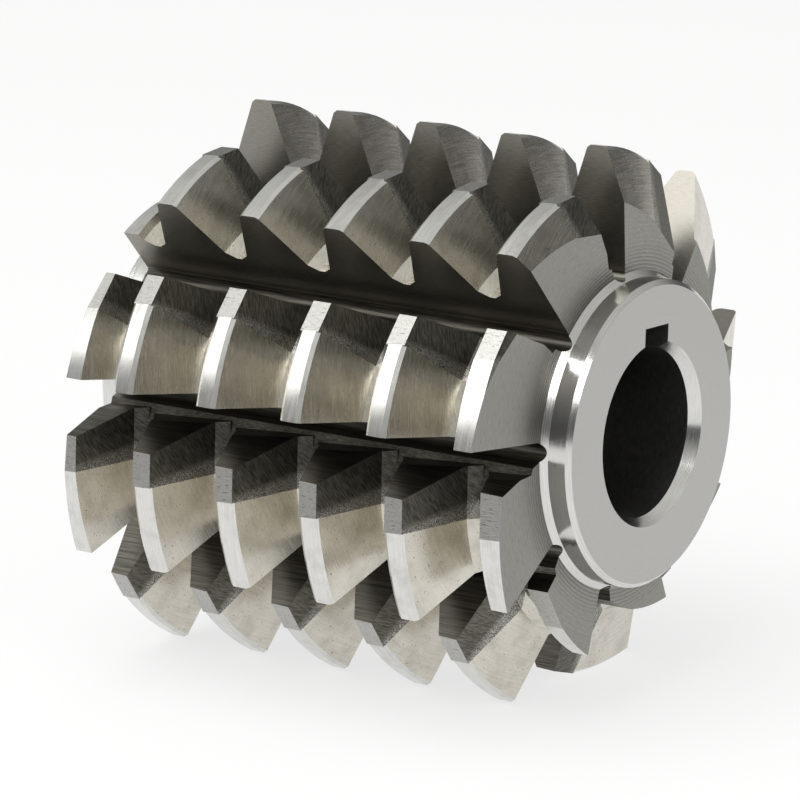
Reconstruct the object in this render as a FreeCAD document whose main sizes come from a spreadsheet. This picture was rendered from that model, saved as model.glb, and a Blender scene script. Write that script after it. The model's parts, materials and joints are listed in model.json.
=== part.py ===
"""Gear hob, module 6: one piece of high-speed steel.

The bore runs along X, with the origin on its axis at mid-length, and +Z is up.  Angles about the
bore are measured from +Z towards -Y, which is a positive turn about +X, and each row of teeth has
its cutting face in a radial plane that looks that way.

A hob is a worm cut across by gashes.  Behind each cutting edge the tooth is relieved: its crest,
flanks and root fall towards the bore, ground on an eccentric arc at first and left as machined
further back, so that every section behind the edge keeps the same tooth form.  The hob is made
here in the same order: a turned blank, the relieved worm, then the gashes and the key slot.
"""
import FreeCAD
import Part
import Sketcher
import math
import os
from FreeCAD import Placement, Rotation, Vector

doc = FreeCAD.newDocument("gear_hob")

# ---------------------------------------------------------------- driving dimensions
# name, value in millimetres, degrees or a plain count, and what it is
DIMENSIONS = [
    ("module_size", 6.0, "gear module that the hob cuts"),
    ("pressure_angle", 20.0, "slope of the tooth flanks"),
    ("outside_diameter", 107.0, "over the tips, at the cutting edges"),
    ("tooth_depth", 15.0, "from the tip to the bottom of the thread"),
    ("row_count", 9, "gashes, and so rows of teeth"),
    ("tip_bevel", 0.55, "bevel on the two corners of each ground crest"),
    ("ground_drop", 7.2, "relief of the ground part, for one row step"),
    ("rough_drop", 9.3, "relief of the unground part, for one row step"),
    ("ground_angle", 18.9, "how far the ground part reaches behind the edge"),
    ("root_flat", 1.2, "flat left at the bottom of the thread between its two corners"),
    ("toothed_length", 94.8, "between the two end planes of the teeth"),
    ("helix_phase", 4.0, "where the thread crosses row 0, from mid-length"),
    ("runout_reach", 1.7, "how far inside an end plane the crests start to fall"),
    ("runout_drop", 5.2, "fall of the crest from one tooth to the next there"),
    ("gash_floor_radius", 28.9, "from the axis to the bottom of a gash"),
    ("gash_corner_radius", 2.0, "round bottom of a gash"),
    ("gash_wall_angle", 25.0, "slope of the wall behind a row of teeth"),
    ("hub_diameter", 57.6, "turned hub at each end"),
    ("hub_length", 5.6, "hub beyond the end plane of the teeth"),
    ("hub_bevel", 0.9, "bevel round the hub face"),
    ("hub_foot", 1.1, "sloped corner between a hub and its end plane"),
    ("bore_diameter", 32.0, "fit for the arbor"),
    ("lead_in_depth", 2.2, "conical mouth of the bore, along the axis"),
    ("lead_in_width", 1.4, "conical mouth of the bore, across"),
    ("bore_land_length", 28.0, "fitting length at each end of the bore"),
    ("bore_relief", 0.75, "depth of the clearance between the two lands"),
    ("keyway_width", 8.0, "slot for the driving key"),
    ("keyway_height", 36.3, "from the far wall of the bore to the slot's floor"),
    ("keyway_turn", 5.5, "how far the slot sits behind cutting face 0"),
]
sheet = doc.addObject("Spreadsheet::Sheet", "dimensions")
for line, (name, value, note) in enumerate(DIMENSIONS, start=1):
    sheet.set("A%d" % line, name)
    sheet.set("B%d" % line, str(value))
    sheet.set("C%d" % line, note)
    sheet.setAlias("B%d" % line, name)
doc.recompute()

# ---------------------------------------------------------------- worked out from them
X_AXIS = Vector(1, 0, 0)
pitch = math.pi * sheet.module_size
flank_slope = math.tan(math.radians(sheet.pressure_angle))
tip_radius = sheet.outside_diameter / 2
root_radius = tip_radius - sheet.tooth_depth
# tooth and space are equally wide at mid-depth
half_crest = pitch / 4 - flank_slope * sheet.tooth_depth / 2
lead_angle = math.atan(pitch / (2 * math.pi * (tip_radius - sheet.tooth_depth / 2)))
half_root = half_crest + flank_slope * sheet.tooth_depth
root_corner = pitch / 2 - half_root - sheet.root_flat / 2
row_step = 360.0 / sheet.row_count
half_toothed = sheet.toothed_length / 2
core_radius = sheet.hub_diameter / 2 + sheet.hub_foot
# degrees by which the worm is made past a cutting face and past the ground part: the gash trims it
EDGE_OVERRUN = 1.5
HEEL_OVERRUN = 11.0
# how far the foot of a tooth and the ring of lands reach into what carries them
FOOT = 3.0
RING_DEPTH = 7.0


def fall(behind):
    """Relief at an angle in degrees behind the cutting edge."""
    ground = min(behind, sheet.ground_angle) * sheet.ground_drop / row_step
    rough = max(behind - sheet.ground_angle, 0) * sheet.rough_drop / row_step
    return ground + rough


def behind_edge(radius, behind, along=0.0):
    """Point at a radius and an angle behind the cutting face of row 0, which is the side of +Y."""
    turn = math.radians(behind)
    return Vector(along, radius * math.sin(turn), radius * math.cos(turn))


def relief_arc(edge_radius, start, end):
    """Arc that a point of the cutting edge follows between two angles behind it."""
    angles = (start, (start + end) / 2, end)
    return Part.Arc(*[behind_edge(edge_radius - fall(angle), angle) for angle in angles])


# ---------------------------------------------------------------- sketches on the sheet's values
def add_sketch(body, plane, name, corners, arcs=None):
    """Close a sketch through corners, each a pair of expressions that stay bound to the sheet.

    arcs maps the number of a side that is round to its radius and to a point on it.
    """
    arcs = arcs or {}
    sketch = body.newObject("Sketcher::SketchObject", name)
    planes = [feature for feature in body.Origin.OriginFeatures if feature.Role == plane]
    sketch.AttachmentSupport = [(planes[0], "")]
    sketch.MapMode = "FlatFace"
    points = [Vector(sheet.evalExpression(x), sheet.evalExpression(y), 0) for x, y in corners]
    ends = []
    for side, start in enumerate(points):
        end = points[(side + 1) % len(points)]
        if side in arcs:
            middle = Vector(*[sheet.evalExpression(text) for text in arcs[side][1]], 0)
            arc = Part.Arc(start, middle, end)
            # a sketch holds every arc counter-clockwise, so a clockwise one is drawn backwards
            backwards = arc.toShape().Curve.Axis.z < 0
            sketch.addGeometry(Part.Arc(end, middle, start) if backwards else arc)
            ends.append((2, 1) if backwards else (1, 2))
        else:
            sketch.addGeometry(Part.LineSegment(start, end))
            ends.append((1, 2))
    constraints = []
    bound = []
    for side, (x, y) in enumerate(corners):
        following = (side + 1) % len(points)
        joined = (side, ends[side][1], following, ends[following][0])
        constraints.append(Sketcher.Constraint("Coincident", *joined))
        for kind, text in (("DistanceX", x), ("DistanceY", y)):
            bound.append((len(constraints), text))
            place = (-1, 1, side, ends[side][0], sheet.evalExpression(text))
            constraints.append(Sketcher.Constraint(kind, *place))
    for side, (radius, middle) in arcs.items():
        bound.append((len(constraints), radius))
        constraints.append(Sketcher.Constraint("Radius", side, sheet.evalExpression(radius)))
    sketch.addConstraint(constraints)
    for number, text in bound:
        sketch.setExpression("Constraints[%d]" % number, text)
    return sketch


# ---------------------------------------------------------------- turned blank
# radii and places along the axis, as expressions in the sheet's names
END = "dimensions.toothed_length / 2"
FACE = "(dimensions.toothed_length / 2 + dimensions.hub_length)"
HUB = "dimensions.hub_diameter / 2"
BORE = "dimensions.bore_diameter / 2"
MOUTH = FACE + " - dimensions.lead_in_depth"
LAND_END = MOUTH + " - dimensions.bore_land_length"
# the half of the section at +X, from the clearance in the bore out over the face to the core
HALF_SECTION = [
    (LAND_END + " - dimensions.bore_relief", BORE + " + dimensions.bore_relief"),
    (LAND_END, BORE),
    (MOUTH, BORE),
    (FACE, BORE + " + dimensions.lead_in_width"),
    (FACE, HUB + " - dimensions.hub_bevel"),
    (FACE + " - dimensions.hub_bevel", HUB),
    (END + " + dimensions.hub_foot", HUB),
    (END, HUB + " + dimensions.hub_foot"),
]
MIRRORED_SECTION = [("-(%s)" % along, radius) for along, radius in reversed(HALF_SECTION)]

blank = doc.addObject("PartDesign::Body", "blank")
section = add_sketch(blank, "XY_Plane", "blank_section", HALF_SECTION + MIRRORED_SECTION)
turned = blank.newObject("PartDesign::Revolution", "turned_blank")
turned.Profile = section
turned.ReferenceAxis = (section, ["H_Axis"])
turned.Angle = 360
doc.recompute()


# ---------------------------------------------------------------- relieved worm
def thread_bottom():
    """Bottom of the thread, which falls behind every cutting face, over the toothed length."""
    kink = sheet.ground_angle
    end = row_step - EDGE_OVERRUN
    land = [relief_arc(root_radius, -EDGE_OVERRUN, kink), relief_arc(root_radius, kink, end)]
    edges = [arc.toShape() for arc in land]
    # the step up to the edge of the next row back
    next_edge = behind_edge(root_radius - fall(-EDGE_OVERRUN), end)
    edges.append(Part.makeLine(land[1].value(land[1].LastParameter), next_edge))
    turns = [-row * row_step for row in range(int(sheet.row_count))]
    outline = [edge.rotated(Vector(), X_AXIS, turn) for turn in turns for edge in edges]
    hole = Part.Circle(Vector(), X_AXIS, core_radius - RING_DEPTH).toShape()
    ring = Part.Face([Part.Wire(outline), Part.Wire(hole)])
    bottom = ring.extrude(X_AXIS * sheet.toothed_length)
    bottom.translate(X_AXIS * -half_toothed)
    return bottom


def tooth(crest_fall):
    """One relieved tooth with its crest at the cutting face over X = 0, less crest_fall."""
    kink = sheet.ground_angle
    crest = [behind_edge(tip_radius - fall(angle), angle) for angle in (0, kink / 2, kink)]
    relief = Part.Arc(*crest).toShape().Curve
    centre = relief.Center
    root_height = behind_edge(root_radius, 0).sub(centre).Length
    slope = flank_slope * sheet.tooth_depth / (relief.Radius - root_height)
    # axis of the relief arc, turned to the lead of the thread so that the flanks follow the helix
    axis = Vector(math.cos(lead_angle), math.sin(lead_angle), 0)
    hinge = centre - X_AXIS * centre.y * math.tan(lead_angle)

    def half_width(height):
        return half_crest + slope * (relief.Radius - height)

    def section_at(point, behind, bevel):
        """Tooth form in the plane of the relief axis and of a point behind the edge."""
        top = relief.Radius - crest_fall
        rise = root_corner * math.cos(math.radians(sheet.pressure_angle))
        corner = (half_width(root_height + rise), root_height + rise)
        toe = half_width(root_height) + root_corner
        # the corner runs on a little under the bottom of the thread, and then straight down
        under = rise / 4
        toe += (toe - corner[0]) / 4
        side = [(toe, root_height - FOOT), (toe, root_height - under), corner]
        if bevel:
            side += [(half_width(top - bevel), top - bevel), (half_width(top) - bevel, top)]
        else:
            side += [(half_width(top), top)]
        corners = side + [(-along, height) for along, height in reversed(side)]
        points = [hinge + axis * along + Vector(0, 0, height) for along, height in corners]
        face = Part.Face(Part.makePolygon(points + points[:1]))
        face.rotate(hinge, axis, -relief_turn(point) - behind)
        return face

    def relief_turn(point):
        """Angle of a point about the relief axis, behind the vertical."""
        return math.degrees(math.atan2(point.y - centre.y, point.z - centre.z))

    bevel = 0 if crest_fall else sheet.tip_bevel
    sweep = relief_turn(crest[2]) - relief_turn(crest[0]) + EDGE_OVERRUN
    ground = section_at(crest[0], -EDGE_OVERRUN, bevel).revolve(hinge, axis, -sweep)
    rough_end = kink + HEEL_OVERRUN
    travel = behind_edge(tip_radius - fall(rough_end), rough_end) - crest[2]
    travel.x = -pitch * HEEL_OVERRUN / 360
    rough = section_at(crest[2], 0, 0).extrude(travel)
    return ground.fuse(rough)


def crest_fall_at(along):
    """How much a crest has run out at a place along the axis."""
    past = abs(along) - half_toothed + sheet.runout_reach
    return max(past, 0) * sheet.runout_drop * sheet.row_count / pitch


def worm_teeth():
    """Every tooth along the single-start right-hand helix that has a crest left."""
    whole = tooth(0)
    slab = Part.makeBox(sheet.toothed_length, 4 * tip_radius, 4 * tip_radius,
                        Vector(-half_toothed, -2 * tip_radius, -2 * tip_radius))
    teeth = []
    first = -math.ceil((half_toothed + sheet.helix_phase) / pitch + 1) * int(sheet.row_count)
    for number in range(first, -first + 1):
        along = sheet.helix_phase + number * pitch / sheet.row_count
        crest_fall = crest_fall_at(along)
        if crest_fall > sheet.tooth_depth - 1:
            continue
        one = tooth(crest_fall) if crest_fall else whole.copy()
        turn = Rotation(X_AXIS, number * row_step)
        one.Placement = Placement(Vector(along, 0, 0), turn)
        if abs(along) + pitch / 2 + pitch / sheet.row_count > half_toothed:
            one = one.common(slab)
        teeth.append(one)
    return teeth


bottom = doc.addObject("Part::Feature", "thread_bottom")
bottom.Shape = thread_bottom()
teeth = doc.addObject("Part::Feature", "worm_teeth")
teeth.Shape = Part.makeCompound(worm_teeth())
worm = doc.addObject("Part::MultiFuse", "relieved_worm")
worm.Shapes = [blank, bottom, teeth]
doc.recompute()

# ---------------------------------------------------------------- gashes and key slot
hob = doc.addObject("PartDesign::Body", "gear_hob")
hob.BaseFeature = worm

# measured in the plane of the cutting face of row 0, where the sketch's axes are Y and Z
FLOOR = "dimensions.gash_floor_radius"
ROUND = "dimensions.gash_corner_radius"
WALL = "dimensions.gash_wall_angle * 1 deg"
OPEN = "(dimensions.outside_diameter / 2 + 5)"
foot_y = "-%s * (1 + cos(%s))" % (ROUND, WALL)
foot_z = "%s + %s * (1 - sin(%s))" % (FLOOR, ROUND, WALL)
gash = add_sketch(
    hob,
    "YZ_Plane",
    "gash_section",
    [
        ("0", OPEN),
        ("0", FLOOR + " + " + ROUND),
        (foot_y, foot_z),
        ("%s - (%s - (%s)) * tan(%s)" % (foot_y, OPEN, foot_z, WALL), OPEN),
    ],
    {1: (ROUND, ("-" + ROUND, FLOOR))},
)
first_gash = hob.newObject("PartDesign::Pocket", "first_gash")
first_gash.Profile = gash
first_gash.Type = "ThroughAll"
first_gash.Midplane = True
doc.recompute()
gashes = hob.newObject("PartDesign::PolarPattern", "gashes")
gashes.Originals = [first_gash]
x_axis = [feature for feature in hob.Origin.OriginFeatures if feature.Role == "X_Axis"][0]
gashes.Axis = (x_axis, [""])
gashes.Angle = 360
gashes.setExpression("Occurrences", "dimensions.row_count")
hob.Tip = gashes
doc.recompute()

slot_floor = "dimensions.keyway_height - dimensions.bore_diameter / 2"
half_key = "dimensions.keyway_width / 2"
slot = add_sketch(
    hob,
    "YZ_Plane",
    "keyway_section",
    [
        ("-" + half_key, "0"),
        (half_key, "0"),
        (half_key, slot_floor),
        ("-" + half_key, slot_floor),
    ],
)
slot.AttachmentOffset = Placement(Vector(), Rotation(Vector(0, 0, 1), -sheet.keyway_turn))
slot.setExpression("AttachmentOffset.Rotation.Angle", "-dimensions.keyway_turn * 1 deg")
keyway = hob.newObject("PartDesign::Pocket", "keyway")
keyway.Profile = slot
keyway.Type = "ThroughAll"
keyway.Midplane = True
hob.Tip = keyway
doc.recompute()

# ---------------------------------------------------------------- checks and export
for item in doc.Objects:
    faults = [state for state in item.State if state in ("Invalid", "Error")]
    if faults:
        raise RuntimeError("%s is %s" % (item.Label, ", ".join(faults)))
if worm.Shape.Volume - first_gash.Shape.Volume < 100:
    raise RuntimeError("the first gash cuts nothing")
if gashes.Shape.Volume - keyway.Shape.Volume < 100:
    raise RuntimeError("the key slot cuts nothing")

os.makedirs("parts", exist_ok=True)
for part in [hob]:
    if part.Shape.isNull() or not part.Shape.isValid() or len(part.Shape.Solids) != 1:
        raise RuntimeError("%s is not one valid solid" % part.Label)
    part.Shape.exportStep("parts/%s.step" % part.Label)
    print(part.Label, round(part.Shape.Volume), "mm3", len(part.Shape.Faces), "faces")
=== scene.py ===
"""Gear hob on a pale floor: the finishes of its steel, the camera, the light and the floor."""
import json
import math
from collections import namedtuple

import bpy
from mathutils import Matrix, Vector

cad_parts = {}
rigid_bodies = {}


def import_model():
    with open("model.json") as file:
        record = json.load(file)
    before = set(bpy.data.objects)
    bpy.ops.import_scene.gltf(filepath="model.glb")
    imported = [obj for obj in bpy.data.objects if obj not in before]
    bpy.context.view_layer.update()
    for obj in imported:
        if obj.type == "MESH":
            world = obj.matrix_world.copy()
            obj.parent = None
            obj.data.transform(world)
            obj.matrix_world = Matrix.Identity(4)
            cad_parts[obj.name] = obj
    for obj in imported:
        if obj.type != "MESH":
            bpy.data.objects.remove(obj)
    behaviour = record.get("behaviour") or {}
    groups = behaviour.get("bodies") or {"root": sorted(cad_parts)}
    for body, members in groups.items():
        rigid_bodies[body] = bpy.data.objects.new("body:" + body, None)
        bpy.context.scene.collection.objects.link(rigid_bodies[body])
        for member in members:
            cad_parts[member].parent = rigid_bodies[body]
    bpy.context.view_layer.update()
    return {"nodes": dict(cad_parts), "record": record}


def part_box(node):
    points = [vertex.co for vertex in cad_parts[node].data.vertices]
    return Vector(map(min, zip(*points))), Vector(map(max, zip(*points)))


for leftover in list(bpy.data.objects):
    bpy.data.objects.remove(leftover)

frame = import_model()
hob = frame["nodes"]["gear_hob"]
hob_low, hob_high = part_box("gear_hob")

# ---------------------------------------------------------------- the hob's own sizes, in metres
MM = 0.001
ROWS = 9
ROW_STEP = 360.0 / ROWS
TIP_RADIUS = 53.5 * MM
TOOTH_DEPTH = 15.0 * MM
GROUND_ANGLE = 18.9
GROUND_DROP = 7.2 * MM
HUB_LENGTH = 5.6 * MM
FACE_PLACE = hob_high.x
END_PLACE = FACE_PLACE - HUB_LENGTH
BORE_RADIUS = [m for m in frame["record"]["mounts"] if m["kind"] == "bore"][0]["dims"]["r_mm"] * MM
MOUTH_WIDTH = 1.4 * MM
MOUTH_RADIUS = BORE_RADIUS + MOUTH_WIDTH
MOUTH_DEPTH = 2.3 * MM
KEYWAY_REACH = 20.8 * MM
CORE_RADIUS = 30.9 * MM
# a crest lies at least this far over the thread bottom, and its bevels this near the crest
CREST_CLEAR = 2.5 * MM
BEVEL_REACH = 0.8 * MM
# how near to a hub face or an end plane a face of the hob lies to belong to it
FACE_SLACK = 0.1 * MM
END_SLACK = 0.05 * MM


# ---------------------------------------------------------------- node helpers
# along the bore, around it and out from it in millimetres, all three as one spot, and the angle
# in degrees behind the nearest cutting edge
HobPlaces = namedtuple("HobPlaces", "along around out spot behind")
# length of one degree of arc at the middle of the teeth, in millimetres
ARC_PER_DEGREE = 0.8
# height of the marks on smooth and on rough steel
FINE_RELIEF = 0.05 * MM
COARSE_RELIEF = 0.1 * MM


class Nodes:
    """Short calls that add and join nodes in one tree."""

    def __init__(self, tree):
        self.tree = tree
        tree.nodes.clear()

    def add(self, kind, sockets=None, **settings):
        node = self.tree.nodes.new(kind)
        for name, value in settings.items():
            setattr(node, name, value)
        for name, value in (sockets or {}).items():
            self.feed(node.inputs[name], value)
        return node

    def feed(self, socket, value):
        if isinstance(value, bpy.types.NodeSocket):
            self.tree.links.new(value, socket)
        else:
            socket.default_value = value

    def math(self, operation, first, second=0.0):
        node = self.add("ShaderNodeMath", {0: first, 1: second}, operation=operation)
        return node.outputs[0]

    def vector(self, along, around, out):
        node = self.add("ShaderNodeCombineXYZ", {0: along, 1: around, 2: out})
        return node.outputs[0]

    def ramp(self, value, low, high, first=0.0, last=1.0, smooth=False):
        sockets = {"Value": value, "From Min": low, "From Max": high, "To Min": first, "To Max": last}
        kind = "SMOOTHSTEP" if smooth else "LINEAR"
        node = self.add("ShaderNodeMapRange", sockets, interpolation_type=kind)
        return node.outputs[0]

    def spread(self, pattern, first=0.0, last=1.0):
        """Stretch a noise pattern, which lies mostly in its middle, over the whole range."""
        return self.ramp(pattern, 0.3, 0.7, first, last)

    def noise(self, place, scale=1.0, detail=3.0, rough=0.55):
        sockets = {"Vector": place, "Scale": scale, "Detail": detail, "Roughness": rough}
        node = self.add("ShaderNodeTexNoise", sockets)
        return node.outputs["Fac"]

    def blend(self, factor, first, second, kind="MIX"):
        node = self.add("ShaderNodeMix", data_type="RGBA", blend_type=kind)
        self.feed(node.inputs[0], factor)
        self.feed(node.inputs[6], first)
        self.feed(node.inputs[7], second)
        return node.outputs[2]

    def scaled(self, value, factor):
        return self.math("MULTIPLY", value, factor)

    def hob_places(self):
        """Where a point of the steel lies on the hob, whatever way the hob is turned."""
        place = self.add("ShaderNodeTexCoord").outputs["Object"]
        parts = self.add("ShaderNodeSeparateXYZ", {0: place}).outputs
        along = self.scaled(parts[0], 1 / MM)
        squares = [self.math("POWER", part, 2.0) for part in parts[1:3]]
        out = self.scaled(self.math("SQRT", self.math("ADD", *squares)), 1 / MM)
        turn = self.scaled(self.math("ARCTAN2", self.scaled(parts[1], -1.0), parts[2]), 180.0 / math.pi)
        around = self.scaled(turn, ARC_PER_DEGREE)
        # two whole turns keep the angle above zero
        behind = self.math("MODULO", self.math("SUBTRACT", 720.0, turn), ROW_STEP)
        return HobPlaces(along, around, out, self.vector(along, around, out), behind)


def new_material(name):
    material = bpy.data.materials.new(name)
    material.use_nodes = True
    return material, Nodes(material.node_tree)


def finish_steel(nodes, colour, roughness, height, bump, distance=FINE_RELIEF):
    """End a steel material with its patterns of colour, roughness and relief."""
    sockets = {"Strength": bump, "Distance": distance, "Height": height}
    relief = nodes.add("ShaderNodeBump", sockets).outputs[0]
    sockets = {"Metallic": 1.0, "Base Color": colour, "Roughness": roughness, "Normal": relief}
    shader = nodes.add("ShaderNodeBsdfPrincipled", sockets)
    nodes.add("ShaderNodeOutputMaterial", {"Surface": shader.outputs[0]})


# ---------------------------------------------------------------- finishes
def ground_crest():
    """Crests ground round the hob: bright, with fine lines that follow the thread."""
    material, nodes = new_material("ground_crest")
    at = nodes.hob_places()
    across = nodes.scaled(at.along, 12.0)
    lines = nodes.noise(nodes.vector(across, nodes.scaled(at.around, 0.3), 0.0), 0.5, 4.0)
    patches = nodes.noise(at.spot, 0.3, 3.0)
    colour = nodes.blend(nodes.spread(lines), (0.62, 0.615, 0.59, 1), (0.76, 0.755, 0.735, 1))
    colour = nodes.blend(nodes.ramp(patches, 0.5, 0.72, 0.0, 0.35), colour, (0.44, 0.43, 0.40, 1))
    finish_steel(nodes, colour, nodes.spread(lines, 0.17, 0.27), lines, 0.12)
    return material


def ground_flank():
    """Flanks and thread bottoms, form ground: warm satin, with fine streaks round the hob and pits."""
    material, nodes = new_material("ground_flank")
    at = nodes.hob_places()
    across = nodes.scaled(at.out, 9.0)
    streaks = nodes.noise(nodes.vector(across, nodes.scaled(at.around, 0.25), at.along), 0.5, 5.0)
    pits = nodes.noise(at.spot, 2.2, 2.0)
    clouds = nodes.noise(at.spot, 0.22, 2.0)
    colour = nodes.blend(nodes.spread(streaks), (0.60, 0.57, 0.50, 1), (0.72, 0.69, 0.62, 1))
    colour = nodes.blend(nodes.ramp(clouds, 0.45, 0.7, 0.0, 0.4), colour, (0.38, 0.355, 0.305, 1))
    colour = nodes.blend(nodes.ramp(pits, 0.66, 0.72, 0.0, 0.75), colour, (0.07, 0.065, 0.055, 1))
    finish_steel(nodes, colour, nodes.spread(streaks, 0.20, 0.30), streaks, 0.1)
    return material


def rough_flank():
    """The back of each flank, never ground: olive black, with fine slanting scratches."""
    material, nodes = new_material("rough_flank")
    at = nodes.hob_places()
    slant = nodes.math("ADD", at.out, nodes.scaled(at.around, 0.35))
    steep = nodes.scaled(slant, 5.0)
    scratches = nodes.noise(nodes.vector(steep, nodes.scaled(at.around, 0.5), at.along), 0.9, 5.0, 0.65)
    lit = nodes.ramp(scratches, 0.4, 0.66)
    colour = nodes.blend(lit, (0.075, 0.072, 0.06, 1), (0.22, 0.21, 0.18, 1))
    colour = nodes.blend(nodes.ramp(scratches, 0.69, 0.74, 0.0, 0.6), colour, (0.52, 0.51, 0.47, 1))
    # torn metal glitters where the grinding wheel left off
    edge = nodes.ramp(at.behind, GROUND_ANGLE, GROUND_ANGLE + 1.8, 1.0, 0.0)
    grit = nodes.ramp(nodes.noise(at.spot, 7.0, 2.0), 0.5, 0.6)
    colour = nodes.blend(nodes.math("MULTIPLY", edge, grit), colour, (0.72, 0.71, 0.67, 1))
    finish_steel(nodes, colour, nodes.spread(scratches, 0.36, 0.5), scratches, 0.35, COARSE_RELIEF)
    return material


def rough_crest():
    """The back of each crest, as machined: grey, with short dark cross lines of chatter."""
    material, nodes = new_material("rough_crest")
    at = nodes.hob_places()
    wide = nodes.scaled(at.along, 0.7)
    chatter = nodes.noise(nodes.vector(wide, nodes.scaled(at.around, 3.4), 0.0), 1.0, 3.0, 0.6)
    grain = nodes.noise(at.spot, 4.0, 2.0)
    colour = nodes.blend(nodes.spread(grain), (0.38, 0.375, 0.355, 1), (0.54, 0.535, 0.51, 1))
    colour = nodes.blend(nodes.ramp(chatter, 0.60, 0.68, 0.0, 0.55), colour, (0.20, 0.195, 0.17, 1))
    colour = nodes.blend(nodes.ramp(chatter, 0.34, 0.40, 0.75, 0.0), colour, (0.12, 0.115, 0.10, 1))
    finish_steel(nodes, colour, nodes.spread(grain, 0.28, 0.4), chatter, 0.4, COARSE_RELIEF)
    return material


def cutting_face():
    """Cutting faces, ground flat along the hob: brown grey, with fine light specks."""
    material, nodes = new_material("cutting_face")
    at = nodes.hob_places()
    stroke = nodes.vector(nodes.scaled(at.along, 0.4), 0.0, nodes.scaled(at.out, 5.0))
    fine = nodes.noise(stroke, 1.5, 4.0)
    specks = nodes.noise(at.spot, 6.0, 2.0)
    colour = nodes.blend(nodes.spread(fine), (0.22, 0.208, 0.182, 1), (0.36, 0.345, 0.305, 1))
    colour = nodes.blend(nodes.ramp(specks, 0.66, 0.72, 0.0, 0.5), colour, (0.62, 0.61, 0.57, 1))
    finish_steel(nodes, colour, nodes.spread(fine, 0.30, 0.42), fine, 0.2)
    return material


def gash_wall():
    """Milled walls and floors of the gashes: very dark, with cutter lines along the hob."""
    material, nodes = new_material("gash_wall")
    at = nodes.hob_places()
    depth = nodes.scaled(at.out, 5.0)
    lines = nodes.noise(nodes.vector(nodes.scaled(at.along, 0.12), at.around, depth), 0.8, 4.0, 0.6)
    colour = nodes.blend(nodes.ramp(lines, 0.35, 0.7), (0.055, 0.051, 0.043, 1), (0.19, 0.18, 0.155, 1))
    finish_steel(nodes, colour, nodes.spread(lines, 0.28, 0.42), lines, 0.3, COARSE_RELIEF)
    return material


# turning grooves near the hubs: how many there are, and over what radius they die away
GROOVES_PER_MM = 9.0 / (2 * math.pi)
GROOVE_FADE = 5.0


def turned_steel(name, dark, light, low, high, bump, groove_reach=0.0):
    """Turned faces: fine rings round the bore, and coarse grooves out to a radius in millimetres, with
    painted shade in dark rings along the grooves.
    """
    material, nodes = new_material(name)
    at = nodes.hob_places()
    rings = nodes.noise(nodes.vector(nodes.scaled(at.out, 4.0), 0.0, 0.0), 1.0, 5.0, 0.7)
    marks = nodes.noise(nodes.vector(nodes.scaled(at.out, 6.0), at.around, 0.0), 0.6, 4.0)
    colour = nodes.blend(nodes.spread(rings), dark, light)
    colour = nodes.blend(nodes.ramp(marks, 0.45, 0.7, 0.0, 0.6), colour, dark)
    height = rings
    if groove_reach:
        turned = nodes.ramp(at.out, groove_reach, groove_reach - GROOVE_FADE, 0.0, 1.0)
        groove = nodes.math("SINE", nodes.scaled(at.out, GROOVES_PER_MM * 2 * math.pi))
        # painted shade: the colour darkens to near black in rings in step with the grooves
        shade = nodes.math("MULTIPLY", turned, nodes.ramp(groove, -0.6, 0.8, 0.0, 0.45))
        colour = nodes.blend(shade, colour, (0.07, 0.067, 0.058, 1))
        height = nodes.math("ADD", rings, nodes.math("MULTIPLY", groove, turned))
    finish_steel(nodes, colour, nodes.spread(rings, low, high), height, bump)
    return material


def hub_steel():
    """Polished rims of the hubs and mouths of the bore."""
    material, nodes = new_material("hub_rim")
    at = nodes.hob_places()
    across = nodes.scaled(at.along, 7.0)
    lines = nodes.noise(nodes.vector(across, nodes.scaled(at.around, 0.1), 0.0), 1.0, 4.0)
    colour = nodes.blend(nodes.spread(lines), (0.60, 0.595, 0.575, 1), (0.74, 0.735, 0.715, 1))
    finish_steel(nodes, colour, nodes.spread(lines, 0.12, 0.22), lines, 0.15)
    return material


def bore_steel():
    """Bore and key slot, dull and dark inside."""
    material, nodes = new_material("bore")
    at = nodes.hob_places()
    across = nodes.scaled(at.along, 3.0)
    lines = nodes.noise(nodes.vector(across, nodes.scaled(at.around, 0.2), at.out), 1.0, 4.0)
    colour = nodes.blend(nodes.spread(lines), (0.20, 0.197, 0.185, 1), (0.32, 0.315, 0.30, 1))
    finish_steel(nodes, colour, nodes.spread(lines, 0.35, 0.45), lines, 0.2)
    return material


END_DARK, END_LIGHT = (0.20, 0.195, 0.178, 1), (0.38, 0.374, 0.345, 1)
HUB_DARK, HUB_LIGHT = (0.44, 0.435, 0.415, 1), (0.52, 0.515, 0.495, 1)
FINISHES = {
    "ground_crest": ground_crest(),
    "ground_flank": ground_flank(),
    "rough_flank": rough_flank(),
    "rough_crest": rough_crest(),
    "cutting_face": cutting_face(),
    "gash_wall": gash_wall(),
    "end_face": turned_steel("end_face", END_DARK, END_LIGHT, 0.28, 0.42, 0.35, groove_reach=36.0),
    "hub_rim": hub_steel(),
    "hub_face": turned_steel("hub_face", HUB_DARK, HUB_LIGHT, 0.3, 0.4, 0.12),
    "bore": bore_steel(),
}


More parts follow.
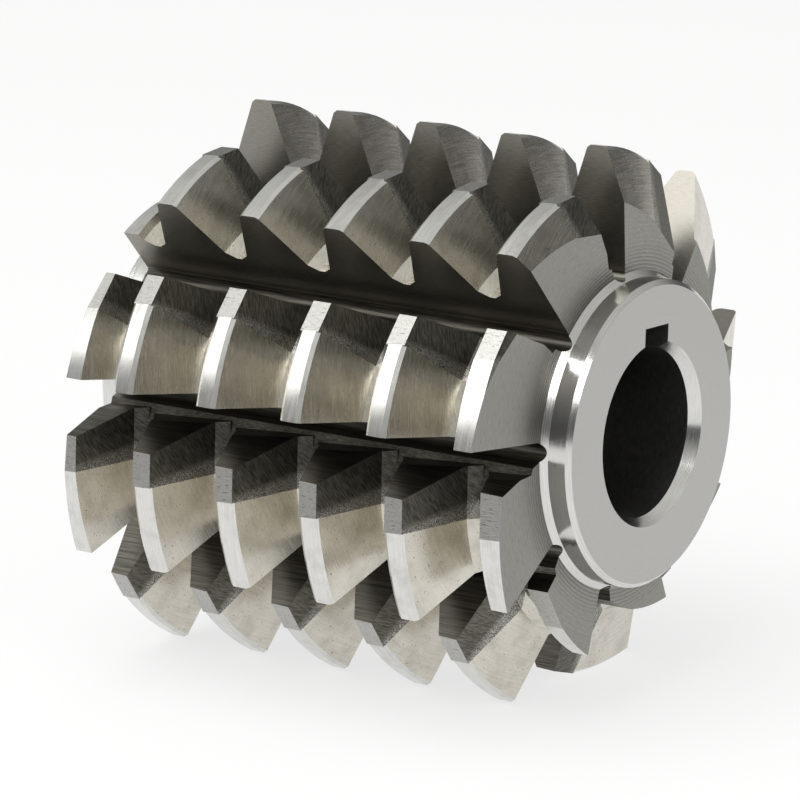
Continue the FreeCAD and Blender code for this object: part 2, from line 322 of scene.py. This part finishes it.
def finish_at(centre, normal):
    """Name of the finish of a face of the hob, from where it lies and which way it looks."""
    out = math.hypot(centre.y, centre.z)
    outward = (normal.y * centre.y + normal.z * centre.z) / out
    forward = (-normal.y * centre.z + normal.z * centre.y) / out
    behind = -math.degrees(math.atan2(-centre.y, centre.z)) % ROW_STEP
    flat = abs(normal.x) > 0.99
    if abs(centre.x) > FACE_PLACE - FACE_SLACK and flat:
        return "hub_face"
    if out < MOUTH_RADIUS and abs(normal.x) > 0.3 and abs(centre.x) > FACE_PLACE - MOUTH_DEPTH:
        return "hub_rim"
    if out < KEYWAY_REACH and not flat:
        return "bore"
    if abs(centre.x) > END_PLACE + END_SLACK:
        return "hub_rim"
    if abs(centre.x) > END_PLACE - END_SLACK and flat:
        return "end_face"
    if forward > 0.95:
        return "cutting_face"
    if forward < -0.6 or out < CORE_RADIUS:
        return "gash_wall"
    ground = behind < GROUND_ANGLE
    crest_here = TIP_RADIUS - GROUND_DROP * behind / ROW_STEP
    root_here = crest_here - TOOTH_DEPTH
    on_crest = outward > 0.9 and out > root_here + CREST_CLEAR
    on_bevel = ground and out > crest_here - BEVEL_REACH and abs(normal.x) < 0.85
    if on_crest or on_bevel:
        return "ground_crest" if ground else "rough_crest"
    return "ground_flank" if ground else "rough_flank"


hob.data.materials.clear()
for material in FINISHES.values():
    hob.data.materials.append(material)
slot_of = {name: number for number, name in enumerate(FINISHES)}
for face in hob.data.polygons:
    face.material_index = slot_of[finish_at(face.center, face.normal)]

# ---------------------------------------------------------------- floor
FLOOR_SIZE = 6.0
# how much of the floor's look is plain white to the camera and in reflections; the rest takes shadow
WHITE_SHARE = 0.75
bpy.ops.mesh.primitive_plane_add(size=FLOOR_SIZE, location=(0, 0, hob_low.z))
floor = bpy.context.object
floor.name = "floor"
material, nodes = new_material("pale_floor")
path = nodes.add("ShaderNodeLightPath").outputs
seen = nodes.math("MAXIMUM", path["Is Camera Ray"], path["Is Glossy Ray"])
matt = nodes.add("ShaderNodeBsdfDiffuse", {"Color": (0.85, 0.85, 0.85, 1)})
white = nodes.add("ShaderNodeEmission", {"Color": (1, 1, 1, 1), "Strength": 1.0})
share = nodes.scaled(seen, WHITE_SHARE)
mixed = nodes.add("ShaderNodeMixShader", {0: share, 1: matt.outputs[0], 2: white.outputs[0]})
nodes.add("ShaderNodeOutputMaterial", {"Surface": mixed.outputs[0]})
floor.data.materials.append(material)

# ---------------------------------------------------------------- world
# how bright the studio is at the sine of the height over the horizon: dark low down, light overhead
SKY = [(0.0, 0.10), (0.20, 0.12), (0.45, 0.45), (1.0, 0.75)]
world = bpy.data.worlds.new("studio")
bpy.context.scene.world = world
world.use_nodes = True
nodes = Nodes(world.node_tree)
direction = nodes.add("ShaderNodeTexCoord").outputs["Generated"]
height = nodes.add("ShaderNodeSeparateXYZ", {0: direction}).outputs[2]
sky = nodes.add("ShaderNodeValToRGB", {"Fac": height})
while len(sky.color_ramp.elements) < len(SKY):
    sky.color_ramp.elements.new(0.5)
for stop, (place, shade) in zip(sky.color_ramp.elements, SKY):
    stop.position = place
    stop.color = (shade, shade, shade * 0.97, 1)
path = nodes.add("ShaderNodeLightPath").outputs
colour = nodes.blend(path["Is Camera Ray"], sky.outputs[0], (1, 1, 1, 1))
background = nodes.add("ShaderNodeBackground", {"Color": colour, "Strength": 1.0})
nodes.add("ShaderNodeOutputWorld", {"Surface": background.outputs[0]})


# ---------------------------------------------------------------- lamps
def soft_lamp(name, place, size, power):
    """A square soft box that looks at the middle of the hob."""
    light = bpy.data.lights.new(name, "AREA")
    light.size = size
    light.energy = power
    lamp = bpy.data.objects.new(name, light)
    bpy.context.scene.collection.objects.link(lamp)
    lamp.location = place
    lamp.rotation_euler = (-Vector(place)).to_track_quat("-Z", "Y").to_euler()


soft_lamp("lamp_over", (-0.15, -0.25, 0.95), 0.8, 7.0)
soft_lamp("lamp_left", (-0.55, -0.68, 0.74), 0.5, 1.5)
soft_lamp("lamp_right", (1.1, -0.5, 0.7), 0.5, 3.0)

# ---------------------------------------------------------------- camera
CAMERA_AZIMUTH = 34.5
CAMERA_HEIGHT = 16.18
CAMERA_ROLL = 1.33
CAMERA_DISTANCE = 1.054
CAMERA_AIM = Vector((0.0129, -0.0237, 0.0068))
LENS_OVER_SENSOR = 7.135
SENSOR = 36.0

camera_data = bpy.data.cameras.new("camera")
camera_data.sensor_width = SENSOR
camera_data.lens = SENSOR * LENS_OVER_SENSOR
camera = bpy.data.objects.new("camera", camera_data)
bpy.context.scene.collection.objects.link(camera)
azimuth, height = math.radians(CAMERA_AZIMUTH), math.radians(CAMERA_HEIGHT)
level = math.cos(height)
looks = Vector((-math.sin(azimuth) * level, math.cos(azimuth) * level, -math.sin(height)))
turn = looks.to_track_quat("-Z", "Y").to_matrix() @ Matrix.Rotation(math.radians(-CAMERA_ROLL), 3, "Z")
camera.matrix_world = Matrix.Translation(CAMERA_AIM - looks * CAMERA_DISTANCE) @ turn.to_4x4()
bpy.context.scene.camera = camera
bpy.context.scene.view_settings.view_transform = "Standard"
